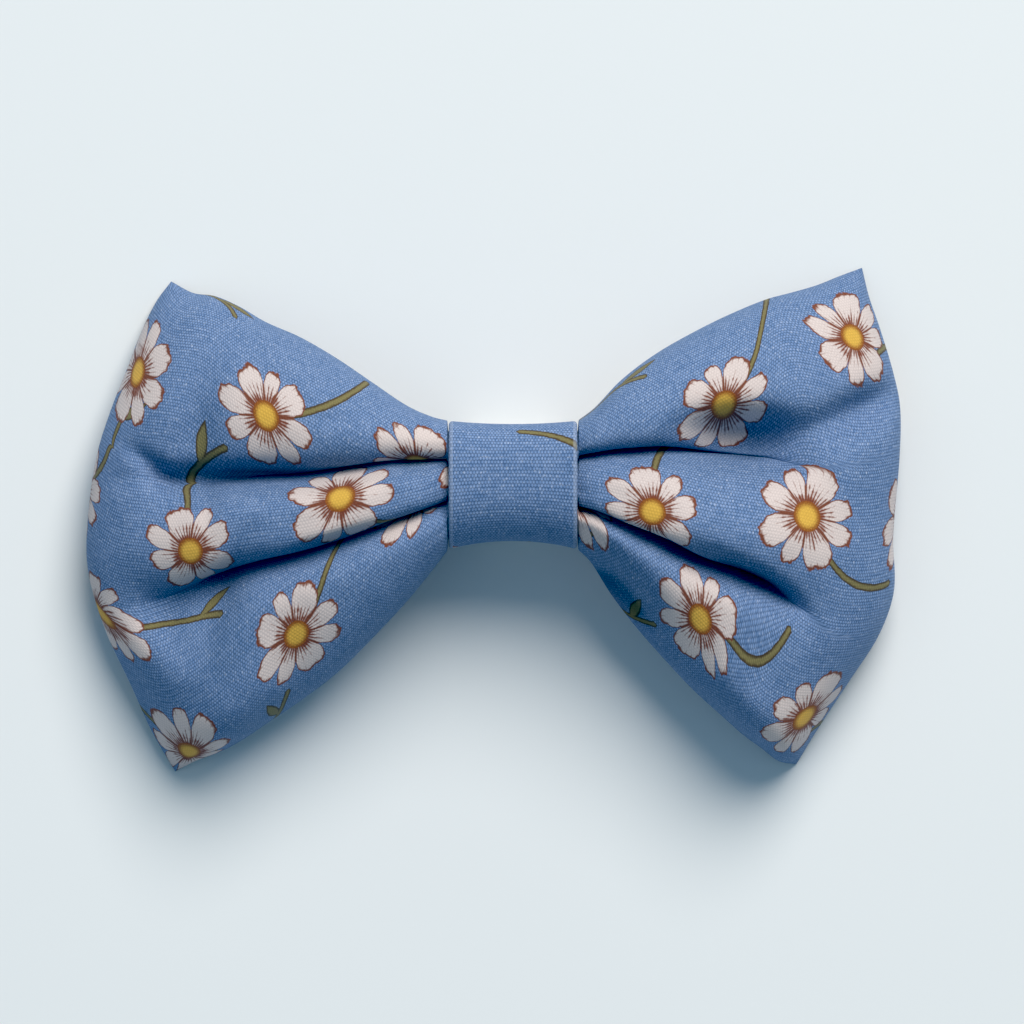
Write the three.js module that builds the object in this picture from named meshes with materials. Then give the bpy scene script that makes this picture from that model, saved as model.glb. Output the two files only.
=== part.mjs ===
// A ready-tied pet bow tie: a hollow pleated cloth bow, a cloth band round its middle,
// and an elastic loop behind the knot that the pet's own collar is threaded through.
// Millimetres. X runs across the bow, Y up it, and Z from the back, which lies on a
// table, to the front. The origin is the middle of the loop's flat back.
import * as THREE from 'three';
import { mergeVertices } from 'three/addons/utils/BufferGeometryUtils.js';

// Fits and walls
const clothWall = 1.0; // poplin, its interlining and its turned hems
const fitGap = 0.3; // between pieces that touch on the real bow

// Elastic loop, hidden behind the knot
const loopWidth = 12; // along the collar
const loopHeight = 13.4; // across the collar
const loopWall = 1.0;
const slotDepth = 4.6; // room for the collar, front to back
const loopRound = 2.6; // bend of the elastic at its upper and lower end

// Band round the knot
const bandWidth = 15.9;
const bandHeight = 15.9; // at its two side edges
const bandTopDip = 0.4; // its middle is drawn in at the top
const bandBottomDip = 1.0; // and more at the bottom
const bandWall = 1.0;
const bandRound = 2.8; // where it turns to the back
const bandCrown = 0.5; // its front swells a little in the middle

// Pleats squeezed inside the band, front to back
const coreDepth = 12;

// Wings, measured from the band's side edges and corners
const leftTopRun = 34.7;
const leftTopRise = 17.5;
const leftBottomRun = 34.2;
const leftBottomDrop = 27.8;
const leftBulge = 10.7; // the end edge beyond a straight line from tip to tip
const rightTopRun = 35.6;
const rightTopRise = 19.2;
const rightBottomRun = 27.4;
const rightBottomDrop = 26.9;
const rightBulge = 9.2;

// Heights and depths of the wings' cloth
const crestStand = 1.0; // the lobes stand this far in front of the band
const endLift = 5.5; // the middle of each end edge above its tips
const foldDepth = 8.5; // the front folds at their deepest
const backFoldDepth = 3.2; // the softer folds behind
const dentDepth = 3.0; // the deepest of the soft dents
const foldTuck = 1.1; // how far a lobe hangs over the fold below it
const shoulderRun = 1.4; // the cloth spreads this fast beside the band

// Hollow inside the bow
const hemWidth = 2.6; // closed cloth along the edges
const channelHeight = 3.4; // the layers part a little between the pleats
const channelDepth = 2.4;
const channelRun = 8; // the channel widens into the wing over this length
const hollowLeast = 0.6; // where the two layers almost meet
const slitLength = 6; // turning gap in the back, under the band

// Heights above the table that follow from the stack of pieces
const bandBack = 2 * loopWall + slotDepth + fitGap;
const coreBack = bandBack + bandWall + fitGap;
const coreMiddle = coreBack + coreDepth / 2;
const coreFront = coreBack + coreDepth;
const bandFront = coreFront + fitGap + bandWall;
const crestTop = bandFront + crestStand;

// Cross sections of a wing. at is the share of the way from the band to the tips.
// top and bottom are shares of the rise and the drop, foldOne and foldTwo shares of
// the height there, depthOne and depthTwo of foldDepth. softness is 0.5 for a lobe as
// round as a pillow and 2 for a faint wave. ridge is a share of crestTop, rim (the
// height of the upper and lower edge) of coreMiddle, and hollow of that rim.
const leftSections = [
  { at: 0.00, top: 0.000, bottom: 0.000, foldOne: 0.328, foldTwo: 0.640, depthOne: 0.50, depthTwo: 0.50 },
  { at: 0.06, top: 0.030, bottom: 0.097, foldOne: 0.312, foldTwo: 0.624, depthOne: 0.85, depthTwo: 0.75 },
  { at: 0.15, top: 0.110, bottom: 0.232, foldOne: 0.306, foldTwo: 0.614, depthOne: 1.00, depthTwo: 0.90 },
  { at: 0.27, top: 0.270, bottom: 0.390, foldOne: 0.343, foldTwo: 0.638, depthOne: 1.00, depthTwo: 1.00 },
  { at: 0.40, top: 0.445, bottom: 0.548, foldOne: 0.376, foldTwo: 0.648, depthOne: 0.90, depthTwo: 0.95 },
  { at: 0.53, top: 0.595, bottom: 0.672, foldOne: 0.387, foldTwo: 0.665, depthOne: 0.68, depthTwo: 0.75 },
  { at: 0.66, top: 0.710, bottom: 0.780, foldOne: 0.390, foldTwo: 0.680, depthOne: 0.45, depthTwo: 0.42 },
  { at: 0.75, top: 0.815, bottom: 0.855, foldOne: 0.378, foldTwo: 0.675, depthOne: 0.33, depthTwo: 0.18 },
  { at: 0.84, top: 0.893, bottom: 0.914, foldOne: 0.350, foldTwo: 0.665, depthOne: 0.20, depthTwo: 0.05 },
  { at: 0.92, top: 0.917, bottom: 0.950, foldOne: 0.320, foldTwo: 0.660, depthOne: 0.08, depthTwo: 0.00 },
  { at: 1.00, top: 1.000, bottom: 1.000, foldOne: 0.300, foldTwo: 0.660, depthOne: 0.00, depthTwo: 0.00 },
];
const rightSections = [
  { at: 0.00, top: 0.000, bottom: 0.000, foldOne: 0.281, foldTwo: 0.695, depthOne: 0.50, depthTwo: 0.45 },
  { at: 0.06, top: 0.085, bottom: 0.060, foldOne: 0.320, foldTwo: 0.728, depthOne: 0.85, depthTwo: 0.65 },
  { at: 0.15, top: 0.260, bottom: 0.205, foldOne: 0.353, foldTwo: 0.726, depthOne: 1.00, depthTwo: 0.80 },
  { at: 0.27, top: 0.430, bottom: 0.365, foldOne: 0.367, foldTwo: 0.720, depthOne: 1.00, depthTwo: 0.95 },
  { at: 0.40, top: 0.570, bottom: 0.515, foldOne: 0.367, foldTwo: 0.722, depthOne: 1.00, depthTwo: 1.00 },
  { at: 0.53, top: 0.690, bottom: 0.655, foldOne: 0.374, foldTwo: 0.734, depthOne: 0.85, depthTwo: 0.72 },
  { at: 0.66, top: 0.790, bottom: 0.775, foldOne: 0.383, foldTwo: 0.748, depthOne: 0.45, depthTwo: 0.25 },
  { at: 0.75, top: 0.836, bottom: 0.857, foldOne: 0.388, foldTwo: 0.750, depthOne: 0.18, depthTwo: 0.05 },
  { at: 0.84, top: 0.885, bottom: 0.925, foldOne: 0.388, foldTwo: 0.750, depthOne: 0.05, depthTwo: 0.00 },
  { at: 0.92, top: 0.945, bottom: 0.985, foldOne: 0.380, foldTwo: 0.745, depthOne: 0.00, depthTwo: 0.00 },
  { at: 1.00, top: 1.000, bottom: 1.000, foldOne: 0.370, foldTwo: 0.740, depthOne: 0.00, depthTwo: 0.00 },
];
const wingHeights = [
  { at: 0.00, softness: 0.50, ridge: 0.905, rim: 1.000, hollow: 0.42 },
  { at: 0.06, softness: 0.50, ridge: 0.965, rim: 0.960, hollow: 0.45 },
  { at: 0.15, softness: 0.50, ridge: 0.995, rim: 0.880, hollow: 0.50 },
  { at: 0.27, softness: 0.55, ridge: 1.000, rim: 0.760, hollow: 0.55 },
  { at: 0.40, softness: 0.62, ridge: 0.980, rim: 0.630, hollow: 0.60 },
  { at: 0.53, softness: 0.85, ridge: 0.940, rim: 0.500, hollow: 0.62 },
  { at: 0.66, softness: 1.25, ridge: 0.880, rim: 0.370, hollow: 0.62 },
  { at: 0.84, softness: 2.00, ridge: 0.760, rim: 0.180, hollow: 0.55 },
  { at: 1.00, softness: 2.00, ridge: 0.600, rim: 0.014, hollow: 0.40 },
];

// End edges: down is the share of the way from the upper to the lower tip, bulge a
// share of that wing's bulge.
const leftEnd = [
  { down: 0.00, bulge: 0.00 },
  { down: 0.04, bulge: 0.17 },
  { down: 0.10, bulge: 0.34 },
  { down: 0.18, bulge: 0.52 },
  { down: 0.26, bulge: 0.70 },
  { down: 0.35, bulge: 0.865 },
  { down: 0.45, bulge: 0.96 },
  { down: 0.55, bulge: 1.00 },
  { down: 0.62, bulge: 0.95 },
  { down: 0.72, bulge: 0.77 },
  { down: 0.82, bulge: 0.51 },
  { down: 0.92, bulge: 0.26 },
  { down: 1.00, bulge: 0.00 },
];
const rightEnd = [
  { down: 0.00, bulge: 0.00 },
  { down: 0.06, bulge: 0.15 },
  { down: 0.12, bulge: 0.34 },
  { down: 0.21, bulge: 0.60 },
  { down: 0.28, bulge: 0.755 },
  { down: 0.38, bulge: 0.835 },
  { down: 0.54, bulge: 0.89 },
  { down: 0.65, bulge: 1.00 },
  { down: 0.74, bulge: 0.875 },
  { down: 0.83, bulge: 0.57 },
  { down: 0.93, bulge: 0.22 },
  { down: 1.00, bulge: 0.00 },
];

// Soft dents: along and down place them, length and width are shares of the wing's
// run to its upper tip, turn is in degrees from X, and depth is a share of dentDepth.
const leftDents = [
  { along: 0.76, down: 0.27, length: 0.24, width: 0.075, turn: 35, depth: 0.55 },
  { along: 0.62, down: 0.76, length: 0.26, width: 0.110, turn: 70, depth: 0.65 },
  { along: 0.90, down: 0.48, length: 0.10, width: 0.050, turn: 60, depth: 0.20 },
];
const rightDents = [
  { along: 0.53, down: 0.27, length: 0.30, width: 0.130, turn: 5, depth: 1.00 },
  { along: 0.22, down: 0.92, length: 0.16, width: 0.070, turn: -50, depth: 0.45 },
  { along: 0.86, down: 0.20, length: 0.12, width: 0.060, turn: 60, depth: 0.30 },
];

const wings = {
  left: {
    side: -1, topRun: leftTopRun, topRise: leftTopRise, bottomRun: leftBottomRun,
    bottomDrop: leftBottomDrop, bulge: leftBulge, sections: leftSections, end: leftEnd, dents: leftDents,
  },
  right: {
    side: 1, topRun: rightTopRun, topRise: rightTopRise, bottomRun: rightBottomRun,
    bottomDrop: rightBottomDrop, bulge: rightBulge, sections: rightSections, end: rightEnd, dents: rightDents,
  },
};

// Fineness of the meshes
const wingSteps = 21;
const lobeSteps = 7;
const bandSteps = 8;
const cornerSteps = 6;
const slitCells = 5; // of the lobe's steps, across the turning gap
const steepness = 1.3; // a sloping wall measures this much more from front to back

const lerp = THREE.MathUtils.lerp;
const clamp = THREE.MathUtils.clamp;
const smooth = (share) => THREE.MathUtils.smoothstep(share, 0, 1);

// Smooth curve through one column of a table
function fromTable(rows, key, column, share) {
  const last = rows.length - 1;
  const found = rows.findIndex((row) => row[key] > share);
  const i = found < 0 ? last - 1 : Math.max(found - 1, 0);
  const slope = (n) => {
    const before = rows[Math.max(n - 1, 0)];
    const after = rows[Math.min(n + 1, last)];
    return (after[column] - before[column]) / (after[key] - before[key]);
  };
  const from = rows[i];
  const to = rows[i + 1];
  const span = to[key] - from[key];
  const t = clamp((share - from[key]) / span, 0, 1);
  const bend = t * t * (3 - 2 * t);
  const leave = t * (1 - t) * (1 - t) * span * slope(i);
  const arrive = t * t * (1 - t) * span * slope(i + 1);
  return lerp(from[column], to[column], bend) + leave - arrive;
}

// Upper and lower edge of the band at a distance x from the middle of the knot
function bandEdges(x) {
  const drawnIn = Math.max(1 - (2 * x / bandWidth) ** 2, 0);
  return {
    top: bandHeight / 2 - bandTopDip * drawnIn,
    bottom: -bandHeight / 2 + bandBottomDip * drawnIn,
  };
}

// Where a point of a wing lies in plan, before its cloth is raised
function wingPlan(wing, at, down) {
  const topY = bandHeight / 2 + wing.topRise * fromTable(wing.sections, 'at', 'top', at);
  const bottomY = -bandHeight / 2 - wing.bottomDrop * fromTable(wing.sections, 'at', 'bottom', at);
  const bulge = wing.bulge * at * fromTable(wing.end, 'down', 'bulge', down);
  const run = at * lerp(wing.topRun, wing.bottomRun, down) + bulge;
  const spread = smooth(at * wing.topRun / shoulderRun);
  const throat = bandHeight / 2 - bandWall - fitGap;
  const squeeze = lerp(throat / (bandHeight / 2), 1, spread);
  return {
    x: wing.side * (bandWidth / 2 + fitGap + run),
    y: lerp(topY, bottomY, down) * squeeze,
  };
}

// Depth of the two front folds at one place, for lobes of a given softness
function foldsAt(section, down, softness) {
  const crests = [section.foldOne * 0.45, (section.foldOne + section.foldTwo) / 2];
  crests.push(lerp(section.foldTwo, 1, 0.5));
  const folds = [
    { line: section.foldOne, depth: section.depthOne, above: crests[0], below: crests[1] },
    { line: section.foldTwo, depth: section.depthTwo, above: crests[1], below: crests[2] },
  ];
  let sunk = 0;
  let tuck = 0;
  for (const fold of folds) {
    const crest = down < fold.line ? fold.above : fold.below;
    const near = clamp(1 - Math.abs(down - fold.line) / Math.abs(crest - fold.line), 0, 1);
    sunk += foldDepth * fold.depth * (1 - Math.pow(1 - near * near, softness));
    tuck += foldTuck * fold.depth * Math.pow(near, 6);
  }
  return { sunk, tuck };
}

// Place in plan and the heights of the front and back there. tuck is how far the front
// is drawn up under the lobe above. Inside the cloth the folds are wider.
function wingPoint(wing, at, down, inside) {
  const section = {};
  for (const column of ['foldOne', 'foldTwo', 'depthOne', 'depthTwo']) {
    section[column] = fromTable(wing.sections, 'at', column, at);
  }
  const height = {};
  for (const column of ['softness', 'ridge', 'rim', 'hollow']) {
    height[column] = fromTable(wingHeights, 'at', column, at);
  }
  const plan = wingPlan(wing, at, down);
  const across = Math.abs(2 * down - 1);
  const boxy = lerp(6, 2.5, smooth(at / 0.25));
  const swell = Math.sqrt(Math.max(1 - across ** boxy, 0)) * Math.sqrt(Math.max(1 - at ** 5, 0));
  const rim = height.rim * coreMiddle + endLift * at ** 3 * Math.sin(Math.PI * down);
  const fold = foldsAt(section, down, inside ? height.softness + 0.5 : height.softness);
  let dent = 0;
  for (const row of wing.dents) {
    const centre = wingPlan(wing, row.along, row.down);
    const turn = THREE.MathUtils.degToRad(row.turn);
    const dx = plan.x - centre.x;
    const dy = plan.y - centre.y;
    const lengthwise = (dx * Math.cos(turn) + dy * Math.sin(turn)) / (row.length * wing.topRun);
    const crosswise = (dy * Math.cos(turn) - dx * Math.sin(turn)) / (row.width * wing.topRun);
    dent += dentDepth * row.depth * Math.exp(-(lengthwise ** 2) - crosswise ** 2);
  }
  const lobe = down < section.foldOne ? down / section.foldOne
    : down < section.foldTwo ? (down - section.foldOne) / (section.foldTwo - section.foldOne)
      : (down - section.foldTwo) / (1 - section.foldTwo);
  const backFold = backFoldDepth * (section.depthOne + section.depthTwo) / 2 * Math.sin(Math.PI * lobe) ** 2;
  const frontZ = rim + (height.ridge * crestTop - rim) * swell - (fold.sunk + dent) * swell;
  const backZ = rim * (1 - height.hollow * swell) + backFold * swell;
  return { x: plan.x, y: plan.y, tuck: fold.tuck * swell, frontZ, backZ };
}

// The hollow ends short of the wing's end edge
function hollowAt(wing, at) {
  return at * (1 - hemWidth / (wing.topRun + wing.bulge));
}

// Inside of the cloth. Between the pleats the hollow is a small flat channel inside the
// middle lobe. Beside the band it first spreads under both folds and then rises.
function hollowPoint(wing, at, down, front) {
  const innerAt = hollowAt(wing, at);
  const foldOne = fromTable(wing.sections, 'at', 'foldOne', innerAt);
  const foldTwo = fromTable(wing.sections, 'at', 'foldTwo', innerAt);
  const spread = smooth(at * wing.topRun / channelRun);
  const raised = smooth(at * wing.topRun / channelRun - 1);
  const tall = wingPlan(wing, innerAt, 0).y - wingPlan(wing, innerAt, 1).y;
  const middle = (foldOne + foldTwo) / 2;
  const reach = channelHeight / 2 / tall;
  const narrow = [middle - reach, middle - reach / 3, middle + reach / 3, middle + reach];
  const wide = [hemWidth / tall, foldOne, foldTwo, 1 - hemWidth / tall];
  const bounds = [0, foldOne, foldTwo, 1];
  const lobe = down < foldOne ? 0 : down < foldTwo ? 1 : 2;
  const within = (down - bounds[lobe]) / (bounds[lobe + 1] - bounds[lobe]);
  const from = lerp(narrow[lobe], wide[lobe], spread);
  const to = lerp(narrow[lobe + 1], wide[lobe + 1], spread);
  const innerDown = lerp(from, to, within);
  const point = wingPoint(wing, innerAt, innerDown, true);
  const wall = clothWall * steepness;
  const valleys = [foldOne, foldTwo].map((fold) => wingPoint(wing, innerAt, fold, true).frontZ);
  const lowest = Math.min(...valleys);
  const under = Math.min(point.frontZ, lowest) - wall;
  const ceiling = lerp(under, point.frontZ - wall, raised);
  const floor = point.backZ + wall;
  const room = Math.max(ceiling - floor, hollowLeast);
  const endRound = Math.sqrt(Math.max(1 - at ** 8, 0));
  const edgeRound = Math.sqrt(Math.max(1 - Math.abs(2 * down - 1) ** 6, 0));
  const half = Math.min(lerp(channelDepth, room, spread), room) / 2 * endRound * edgeRound;
  const y = point.y + (front ? point.tuck * endRound : 0);
  const z = (ceiling + floor) / 2 + (front ? half : -half);
  return new THREE.Vector3(point.x, y, z);
}

// Shares of the height at which every ring of cloth has its points
function ringShares(wing, at) {
  const foldOne = fromTable(wing.sections, 'at', 'foldOne', at);
  const foldTwo = fromTable(wing.sections, 'at', 'foldTwo', at);
  const bounds = [0, foldOne, foldTwo, 1];
  const shares = [];
  for (let lobe = 0; lobe < 3; lobe += 1) {
    for (let step = 0; step < lobeSteps; step += 1) {
      const eased = (1 - Math.cos(Math.PI * step / lobeSteps)) / 2;
      shares.push(lerp(bounds[lobe], bounds[lobe + 1], eased));
    }
  }
  shares.push(1);
  return shares;
}

// One ring of points, down the front and up the back
function ring(shares, pointAt) {
  const front = shares.map((down) => pointAt(down, true));
  const back = shares.slice(1, -1).reverse().map((down) => pointAt(down, false));
  return [...front, ...back];
}

function wingRings(wing, at) {
  const shares = ringShares(wing, at);
  const outer = ring(shares, (down, front) => {
    const point = wingPoint(wing, at, down, false);
    const y = point.y + (front ? point.tuck : 0);
    return new THREE.Vector3(point.x, y, front ? point.frontZ : point.backZ);
  });
  const innerShares = ringShares(wing, hollowAt(wing, at));
  const inner = ring(innerShares, (down, front) => hollowPoint(wing, at, down, front));
  return { outer, inner };
}

// Pleats inside the band, as wide sections that follow the band's own waist
function coreRings(x) {
  const mix = (x + bandWidth / 2) / bandWidth;
  const left = wingRings(wings.left, 0);
  const right = wingRings(wings.right, 0);
  const edges = bandEdges(x);
  const throat = bandHeight / 2 - bandWall - fitGap;
  const top = edges.top - bandWall - fitGap;
  const bottom = edges.bottom + bandWall + fitGap;
  const fit = (point) => {
    const down = (throat - point.y) / (2 * throat);
    return new THREE.Vector3(x, lerp(top, bottom, down), point.z);
  };
  const blend = (from, to) => from.map((point, n) => fit(point.clone().lerp(to[n], mix)));
  return { outer: blend(left.outer, right.outer), inner: blend(left.inner, right.inner) };
}

// Closed wall between an outer and an inner stack of rings. Open ends are walled up,
// and a slit lets the hollow breathe.
function wallBetween(stack, { openEnds = false, slit = null } = {}) {
  const stations = stack.length;
  const around = stack[0].outer.length;
  const points = [...stack.flatMap((rings) => rings.outer), ...stack.flatMap((rings) => rings.inner)];
  const at = (layer, i, k) => (layer * stations + i) * around + (k + around) % around;
  const triangles = [];
  const quad = (a, b, c, d) => triangles.push(a, b, c, a, c, d);
  const inSlit = (i, k) => slit && i >= slit.from && i < slit.to && k >= slit.low && k < slit.high;
  const join = (i, k, j, m) => quad(at(0, i, k), at(0, j, m), at(1, j, m), at(1, i, k));
  for (let i = 0; i < stations - 1; i += 1) {
    for (let k = 0; k < around; k += 1) {
      if (inSlit(i, k)) {
        if (!inSlit(i - 1, k)) join(i, k, i, k + 1);
        if (!inSlit(i + 1, k)) join(i + 1, k + 1, i + 1, k);
        if (!inSlit(i, k - 1)) join(i + 1, k, i, k);
        if (!inSlit(i, k + 1)) join(i, k + 1, i + 1, k + 1);
        continue;
      }
      quad(at(0, i, k), at(0, i, k + 1), at(0, i + 1, k + 1), at(0, i + 1, k));
      quad(at(1, i + 1, k), at(1, i + 1, k + 1), at(1, i, k + 1), at(1, i, k));
    }
  }
  if (openEnds) {
    const end = stations - 1;
    for (let k = 0; k < around; k += 1) {
      join(0, k + 1, 0, k);
      join(end, k, end, k + 1);
    }
  }
  const geometry = new THREE.BufferGeometry();
  const position = new Float32Array(points.flatMap((point) => point.toArray()));
  geometry.setAttribute('position', new THREE.BufferAttribute(position, 3));
  geometry.setIndex(triangles);
  const merged = mergeVertices(geometry, 1e-4);
  merged.computeVertexNormals();
  return merged;
}

function makeBow() {
  const stack = [];
  for (let step = wingSteps; step >= 0; step -= 1) {
    stack.push(wingRings(wings.left, (1 - Math.cos(Math.PI * step / wingSteps)) / 2));
  }
  const slitStart = stack.length;
  for (const x of [-slitLength / 2, slitLength / 2]) {
    stack.push(coreRings(x));
  }
  for (let step = 0; step <= wingSteps; step += 1) {
    stack.push(wingRings(wings.right, (1 - Math.cos(Math.PI * step / wingSteps)) / 2));
  }
  const around = stack[0].outer.length;
  const middleBack = Math.round(around * 3 / 4);
  const low = middleBack - Math.floor(slitCells / 2);
  const slit = { from: slitStart, to: slitStart + 1, low, high: low + slitCells };
  return wallBetween(stack, { slit });
}

// Ring of a rounded oblong in the YZ plane, from its top round by the front
function oblongRing(x, top, bottom, back, front, radius, crown = 0) {
  const corners = [
    { y: top - radius, z: front - radius, start: 90 },
    { y: bottom + radius, z: front - radius, start: 0 },
    { y: bottom + radius, z: back + radius, start: -90 },
    { y: top - radius, z: back + radius, start: -180 },
  ];
  const points = [];
  const middle = (top + bottom) / 2;
  for (const corner of corners) {
    for (let step = 0; step <= cornerSteps; step += 1) {
      const angle = THREE.MathUtils.degToRad(corner.start - 90 * step / cornerSteps);
      points.push(new THREE.Vector3(x, corner.y + radius * Math.sin(angle), corner.z + radius * Math.cos(angle)));
    }
    if (corner.start === 90) points.push(new THREE.Vector3(x, middle, front + crown));
  }
  return points;
}

function makeBand() {
  const stack = [];
  for (let step = 0; step <= bandSteps; step += 1) {
    const x = bandWidth * (step / bandSteps - 0.5);
    const { top, bottom } = bandEdges(x);
    stack.push({
      outer: oblongRing(x, top, bottom, bandBack, bandFront, bandRound, bandCrown),
      inner: oblongRing(
        x, top - bandWall, bottom + bandWall, bandBack + bandWall, bandFront - bandWall,
        bandRound - bandWall, bandCrown,
      ),
    });
  }
  return wallBetween(stack, { openEnds: true });
}

function makeLoop() {
  const outline = (inset) => {
    const half = loopHeight / 2 - inset;
    const low = inset;
    const high = 2 * loopWall + slotDepth - inset;
    return [-loopWidth / 2, loopWidth / 2]
      .map((x) => oblongRing(x, half, -half, low, high, loopRound - inset));
  };
  const outer = outline(0);
  const inner = outline(loopWall);
  const stack = outer.map((points, n) => ({ outer: points, inner: inner[n] }));
  return wallBetween(stack, { openEnds: true });
}

function piece(name, geometry, color, roughness) {
  const material = new THREE.MeshStandardMaterial({ color, roughness, metalness: 0 });
  const mesh = new THREE.Mesh(geometry, material);
  mesh.name = name;
  return mesh;
}

const group = new THREE.Group();
group.add(piece('bow', makeBow(), 0x5f7ea8, 0.85));
group.add(piece('knot_band', makeBand(), 0x6c86b2, 0.85));
group.add(piece('collar_loop', makeLoop(), 0x2b3f63, 0.8));

export default group;
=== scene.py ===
# Pet bow tie: a pleated cloth bow, the band round its knot and the elastic loop behind it.
import math

import bpy
import numpy as np
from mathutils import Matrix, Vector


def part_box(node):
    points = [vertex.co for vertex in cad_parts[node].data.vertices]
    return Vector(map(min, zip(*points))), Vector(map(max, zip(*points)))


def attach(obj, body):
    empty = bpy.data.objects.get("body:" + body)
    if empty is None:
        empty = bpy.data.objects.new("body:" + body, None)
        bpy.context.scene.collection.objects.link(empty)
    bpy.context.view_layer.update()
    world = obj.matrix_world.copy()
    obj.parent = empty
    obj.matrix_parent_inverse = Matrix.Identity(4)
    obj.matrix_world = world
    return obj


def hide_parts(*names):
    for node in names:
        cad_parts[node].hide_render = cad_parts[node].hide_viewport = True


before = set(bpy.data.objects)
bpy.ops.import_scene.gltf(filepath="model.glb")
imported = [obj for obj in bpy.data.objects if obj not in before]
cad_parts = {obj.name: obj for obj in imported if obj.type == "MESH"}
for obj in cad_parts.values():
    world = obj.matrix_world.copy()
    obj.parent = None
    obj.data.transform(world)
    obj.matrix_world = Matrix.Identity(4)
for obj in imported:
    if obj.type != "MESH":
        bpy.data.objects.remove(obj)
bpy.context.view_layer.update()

mm = 0.001
print("frame loaded:", ", ".join(sorted(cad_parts)))


# Small helpers

def table(columns, *rows):
    # one dictionary for each row
    return [dict(zip(columns.split(), row)) for row in rows]


def curveThrough(rows, key, column, shares):
    # smooth curve through one column of a table
    at = np.array([row[key] for row in rows])
    value = np.array([row[column] for row in rows])
    last = len(rows) - 1
    before = np.maximum(np.arange(last + 1) - 1, 0)
    after = np.minimum(np.arange(last + 1) + 1, last)
    slope = (value[after] - value[before]) / (at[after] - at[before])
    i = np.clip(np.searchsorted(at, shares, side="right") - 1, 0, last - 1)
    span = at[i + 1] - at[i]
    t = np.clip((shares - at[i]) / span, 0, 1)
    bend = t * t * (3 - 2 * t)
    leave = t * (1 - t) ** 2 * span * slope[i]
    arrive = t * t * (1 - t) * span * slope[i + 1]
    return value[i] + (value[i + 1] - value[i]) * bend + leave - arrive


def blend(a, b, share):
    return a + (b - a) * share


def smooth(share):
    t = np.clip(share, 0, 1)
    return t * t * (3 - 2 * t)


def meshPiece(name, points, faces, cornerUv):
    # one smooth object from points in millimetres, with a map of the flat cloth
    mesh = bpy.data.meshes.new(name)
    mesh.from_pydata((np.asarray(points) * mm).tolist(), [], np.asarray(faces).tolist())
    uv = mesh.uv_layers.new(name="flatCloth")
    uv.data.foreach_set("uv", np.asarray(cornerUv, dtype=np.float32).ravel())
    mesh.polygons.foreach_set("use_smooth", [True] * len(mesh.polygons))
    mesh.update()
    piece = bpy.data.objects.new(name, mesh)
    bpy.context.scene.collection.objects.link(piece)
    return piece


def lengthAlong(points, axis):
    # running length over a grid of points, along one of its two directions
    steps = np.linalg.norm(np.diff(points, axis=axis), axis=2)
    total = np.cumsum(steps, axis=axis)
    pad = [(0, 0), (0, 0)]
    pad[axis] = (1, 0)
    return np.pad(total, pad)


def easedSteps(count, closed):
    # shares from 0 on, closer together towards 0 and 1, with 1 itself if closed
    return (1 - np.cos(math.pi * np.arange(count + closed) / count)) / 2


def cells(grid, order=(0, 1, 2, 3)):
    # the four corners of each cell of a grid
    corners = [grid[:-1, :-1], grid[:-1, 1:], grid[1:, 1:], grid[1:, :-1]]
    return np.stack([corners[n] for n in order], axis=2).reshape(-1, 4, *grid.shape[2:])


# Camera and lights

view = {
    "frameWidth": 127.2,      # mm of the table that the picture shows
    "distance": 1800.0,       # mm from the middle of the bow
    "middle": (-0.12, -3.35, 10.0),
    "sensor": 36.0,
    "clipStart": 0.01,        # metres
}


def makeCamera():
    data = bpy.data.cameras.new("camera")
    data.sensor_width = view["sensor"]
    data.lens = view["sensor"] * view["distance"] / view["frameWidth"]
    data.clip_start = view["clipStart"]
    camera = bpy.data.objects.new("camera", data)
    x, y, z = view["middle"]
    camera.location = (x * mm, y * mm, (z + view["distance"]) * mm)
    bpy.context.scene.collection.objects.link(camera)
    bpy.context.scene.camera = camera


studio = {
    "key": {"place": (0.44, 1.20, 1.42), "size": 1.30, "power": 42.0, "colour": (1.0, 0.955, 0.88)},
    "fill": {"place": (-0.35, -0.15, 0.60), "size": 0.60, "power": 0.35, "colour": (0.80, 0.90, 1.0)},
    "sky": {"colour": (0.52, 0.80, 1.0), "strength": 0.27},
    "shadowTint": (0.026, 0.014, 0.004),
    "floor": {"size": 6.0, "colour": (0.805, 0.832, 0.860), "roughness": 0.9, "specular": 0.1},
}


def makeLight(name, place, size, power, colour):
    data = bpy.data.lights.new(name, "AREA")
    data.shape = "DISK"
    data.size = size
    data.energy = power
    data.color = colour
    light = bpy.data.objects.new(name, data)
    light.location = place
    aim = -light.location.normalized()
    light.rotation_euler = aim.to_track_quat("-Z", "Y").to_euler()
    bpy.context.scene.collection.objects.link(light)


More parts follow.
